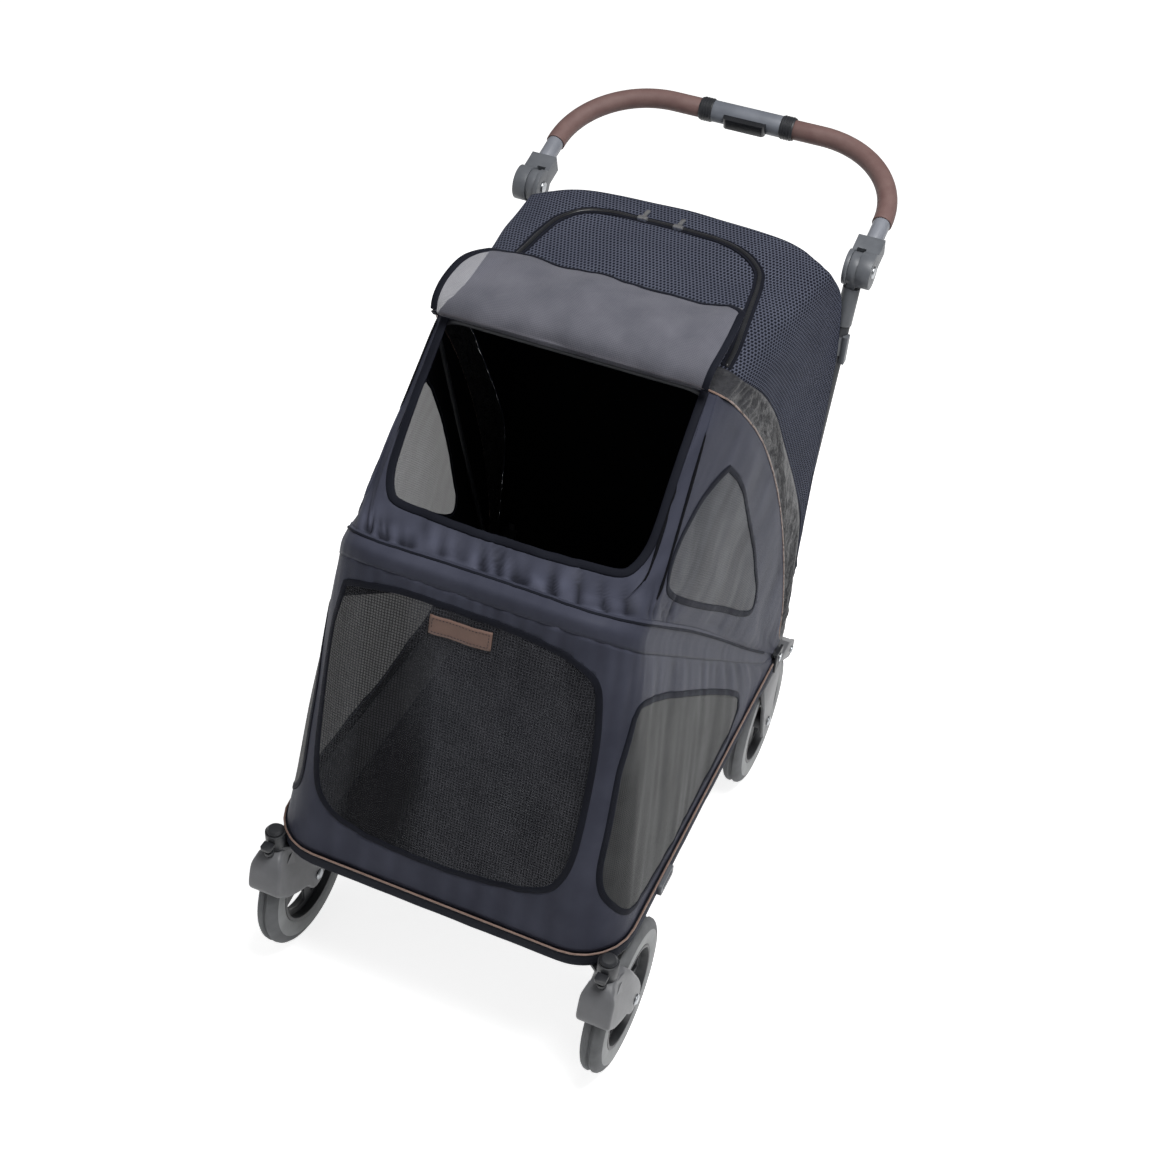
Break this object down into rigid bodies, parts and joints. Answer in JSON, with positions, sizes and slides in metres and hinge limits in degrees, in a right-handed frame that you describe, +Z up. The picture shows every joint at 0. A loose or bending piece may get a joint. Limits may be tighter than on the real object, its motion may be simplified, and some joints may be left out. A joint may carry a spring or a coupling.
{
  "type": "pet stroller",
  "caption": "Folding pet stroller with a fabric cabin, mesh windows, a roof flap, a tilting handle bar, swivel front casters and a foot brake.",
  "frame": {"origin": "on the floor, under the middle of the whole stroller with the handle out and both casters straight", "axes": "+X to the right as seen from in front, -Y to the front, +Z up"},
  "size_m": [0.556, 1.071, 0.9754],
  "materials": {
    "tyre": "ribbed tread",
    "rim": "moulded, light grey",
    "fork": "moulded, grey",
    "frame": "powder coat, dark grey",
    "handle_tube": "anodised, satin grey",
    "steel": "zinc plated",
    "plastic": "fine grain, grey",
    "black_plastic": "fine grain, black",
    "grip": "stitched, red-brown",
    "cloth": "satin weave polyester, navy grey",
    "gathers": "crinkled, dark grey",
    "air_mesh": "knitted spacer mesh, navy grey",
    "flap_mesh": "sheer mesh, grey",
    "cushion": "padded, grey",
    "board": "fibreboard in black cloth",
    "zip": "plated"
  },
  "bodies": {
    "base": {"side_rails": "frame", "front_crossbar": "frame", "rear_crossbar": "frame", "tray_board": "board", "floor_cushion": "cushion", "caster_socket_left": "plastic", "caster_socket_right": "plastic", "caster_bushings": "black_plastic", "rear_fork_left": "fork", "rear_fork_right": "fork", "rear_axles": "steel", "fold_brackets": "frame", "fold_pins": "steel", "front_panel": "cloth", "side_panel_left": "cloth", "side_panel_right": "cloth", "strap_buckle": "black_plastic"},
    "rim_bow": {"rim_bow": "steel", "hood_front": "cloth"},
    "canopy_bow": {"canopy_bow": "steel", "gathered_strip": "gathers"},
    "upright": {"fold_arms": "plastic", "upright_tube_left": "frame", "upright_tube_right": "frame", "joint_hub_left": "plastic", "joint_hub_right": "plastic", "upright_cross_tube": "frame", "roof_panel": "air_mesh", "rear_panel": "air_mesh", "frame_clips": "plastic"},
    "handle": {"handle_tube_left": "handle_tube", "handle_tube_right": "handle_tube", "handle_grip_left": "grip", "handle_grip_right": "grip", "handle_yoke_left": "plastic", "handle_yoke_right": "plastic", "handle_housing": "plastic", "joint_pins": "steel"},
    "button": {"fold_button": "black_plastic"},
    "flap": {"front_flap": "flap_mesh"},
    "brake": {"brake_shaft": "steel", "brake_pedal": "plastic"},
    "caster_left": {"caster_fork_left": "fork", "caster_stem_left": "steel", "front_axle_left": "steel"},
    "front_wheel_left": {"tyre_front_left": "tyre", "rim_front_left": "rim"},
    "rear_wheel_left": {"tyre_rear_left": "tyre", "rim_rear_left": "rim"},
    "swivel_lock_left": {"swivel_lock_left": "plastic"},
    "zip_slider_left": {"zip_slider_left": "zip"},
    "caster_right": {"caster_fork_right": "fork", "caster_stem_right": "steel", "front_axle_right": "steel"},
    "front_wheel_right": {"tyre_front_right": "tyre", "rim_front_right": "rim"},
    "rear_wheel_right": {"tyre_rear_right": "tyre", "rim_rear_right": "rim"},
    "swivel_lock_right": {"swivel_lock_right": "plastic"},
    "zip_slider_right": {"zip_slider_right": "zip"}
  },
  "joints": [
    {"name": "frame_fold", "type": "hinge", "parent": "base", "child": "rim_bow", "pos_m": [0, 0.1735, 0.258], "axis": [1, 0, 0], "range_deg": [0, 29.5], "deforming": ["front_panel", "side_panel_left", "side_panel_right", "hood_front"]},
    {"name": "canopy_fold", "type": "hinge", "parent": "rim_bow", "child": "canopy_bow", "pos_m": [0, 0.1735, 0.258], "axis": [1, 0, 0], "range_deg": [0, 21.8], "deforming": ["hood_front", "gathered_strip"]},
    {"name": "upright_fold", "type": "hinge", "parent": "canopy_bow", "child": "upright", "pos_m": [0, 0.1735, 0.258], "axis": [1, 0, 0], "range_deg": [0, 31.6], "deforming": ["gathered_strip", "roof_panel"]},
    {"name": "handle_tilt", "type": "hinge", "parent": "upright", "child": "handle", "pos_m": [0, 0.2985, 0.885], "axis": [1, 0, 0], "range_deg": [-55, 60]},
    {"name": "button_press", "type": "slide", "parent": "handle", "child": "button", "axis": [0, 0.9478, 0.319], "range_m": [0, 0.004], "stiffness_N_per_m": 600, "springref_m": -0.001},
    {"name": "flap_swing", "type": "hinge", "parent": "canopy_bow", "child": "flap", "pos_m": [0, -0.133, 0.913], "axis": [1, 0, 0], "range_deg": [0, 135]},
    {"name": "brake_press", "type": "hinge", "parent": "base", "child": "brake", "pos_m": [0, 0.262, 0.202], "axis": [-1, 0, 0], "range_deg": [0, 12]},
    {"name": "caster_swivel_left", "type": "hinge", "parent": "base", "child": "caster_left", "pos_m": [-0.25, -0.4875, 0.23], "axis": [0, 0, 1], "continuous": true},
    {"name": "front_wheel_spin_left", "type": "hinge", "parent": "caster_left", "child": "front_wheel_left", "pos_m": [-0.25, -0.4235, 0.112], "axis": [1, 0, 0], "continuous": true},
    {"name": "rear_wheel_spin_left", "type": "hinge", "parent": "base", "child": "rear_wheel_left", "pos_m": [-0.238, 0.1785, 0.112], "axis": [1, 0, 0], "continuous": true},
    {"name": "swivel_lock_slide_left", "type": "slide", "parent": "base", "child": "swivel_lock_left", "axis": [0, 0, -1], "range_m": [0, 0.006]},
    {"name": "zip_slide_left", "type": "slide", "parent": "upright", "child": "zip_slider_left", "axis": [1, 0, 0], "range_m": [-0.05, 0.012]},
    {"name": "caster_swivel_right", "type": "hinge", "parent": "base", "child": "caster_right", "pos_m": [0.25, -0.4875, 0.23], "axis": [0, 0, 1], "continuous": true},
    {"name": "front_wheel_spin_right", "type": "hinge", "parent": "caster_right", "child": "front_wheel_right", "pos_m": [0.25, -0.4235, 0.112], "axis": [1, 0, 0], "continuous": true},
    {"name": "rear_wheel_spin_right", "type": "hinge", "parent": "base", "child": "rear_wheel_right", "pos_m": [0.238, 0.1785, 0.112], "axis": [1, 0, 0], "continuous": true},
    {"name": "swivel_lock_slide_right", "type": "slide", "parent": "base", "child": "swivel_lock_right", "axis": [0, 0, -1], "range_m": [0, 0.006]},
    {"name": "zip_slide_right", "type": "slide", "parent": "upright", "child": "zip_slider_right", "axis": [1, 0, 0], "range_m": [-0.012, 0.09]}
  ],
  "couplings": [
    {"joint": "canopy_fold", "follows": "frame_fold", "ratio": 0.738},
    {"joint": "upright_fold", "follows": "frame_fold", "ratio": 1.07}
  ]
}
